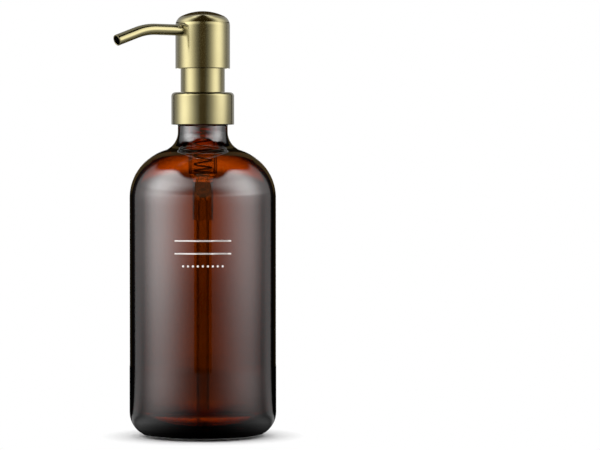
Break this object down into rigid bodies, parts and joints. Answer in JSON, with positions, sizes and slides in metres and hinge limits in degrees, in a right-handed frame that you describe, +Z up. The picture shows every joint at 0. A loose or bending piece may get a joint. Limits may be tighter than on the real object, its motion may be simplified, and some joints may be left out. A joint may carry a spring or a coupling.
{
  "type": "pump oil bottle",
  "caption": "Round-shouldered amber glass bottle with a screw-on metal lotion pump: domed press head, bent swivel spout, spring-return piston and dip tube.",
  "frame": {"origin": "centre of the base, on the plane that the bottle stands on", "axes": "+Z up the bottle's axis; the spout points along -X at rest"},
  "size_m": [0.0914, 0.075, 0.2172],
  "materials": {
    "amber_glass": "clear dark amber",
    "satin_brass": "satin, brushed round",
    "natural_plastic": "translucent moulded",
    "white_plastic": "moulded",
    "seal_rubber": "matt",
    "stainless_steel": "drawn and polished"
  },
  "bodies": {
    "bottle": {"bottle": "amber_glass"},
    "gasket": {"neck_gasket": "seal_rubber"},
    "pump_core": {"pump_housing": "natural_plastic", "chaplet": "white_plastic", "stem_wiper": "seal_rubber", "dip_tube": "natural_plastic", "ball_retainer": "natural_plastic", "return_spring": "stainless_steel"},
    "collar": {"closure_insert": "white_plastic", "collar_shell": "satin_brass", "riser_sleeve": "satin_brass"},
    "piston": {"piston": "seal_rubber"},
    "head": {"head_shell": "satin_brass", "head_core": "white_plastic", "spout": "satin_brass", "spout_o_ring": "seal_rubber", "stem": "white_plastic", "piston_retainer": "white_plastic"},
    "inlet_ball": {"inlet_ball": "stainless_steel"},
    "outlet_ball": {"outlet_ball": "stainless_steel"}
  },
  "joints": [
    {"name": "pump_lift", "type": "slide", "parent": "bottle", "child": "gasket", "axis": [0, 0, 1], "range_m": [0, 0.165]},
    {"name": "pump_rise", "type": "slide", "parent": "gasket", "child": "pump_core", "axis": [0, 0, 1], "range_m": [0, 0.0053]},
    {"name": "collar_turn", "type": "hinge", "parent": "pump_core", "child": "collar", "pos_m": [0, 0, 0.168], "axis": [0, 0, 1], "range_deg": [0, 450]},
    {"name": "pump_press", "type": "slide", "parent": "pump_core", "child": "piston", "axis": [0, 0, -1], "range_m": [0, 0.0105], "stiffness_N_per_m": 1000, "springref_m": -0.008, "deforming": ["return_spring"]},
    {"name": "head_swivel", "type": "hinge", "parent": "piston", "child": "head", "pos_m": [0, 0, 0.2], "axis": [0, 0, 1], "continuous": true},
    {"name": "inlet_ball_lift", "type": "slide", "parent": "pump_core", "child": "inlet_ball", "axis": [0, 0, 1], "range_m": [0, 0.0015]},
    {"name": "outlet_ball_lift", "type": "slide", "parent": "head", "child": "outlet_ball", "axis": [0, 0, 1], "range_m": [0, 0.0012]}
  ],
  "couplings": [
    {"joint": "pump_rise", "follows": "collar_turn", "m_per_rad": 0.00067376}
  ]
}
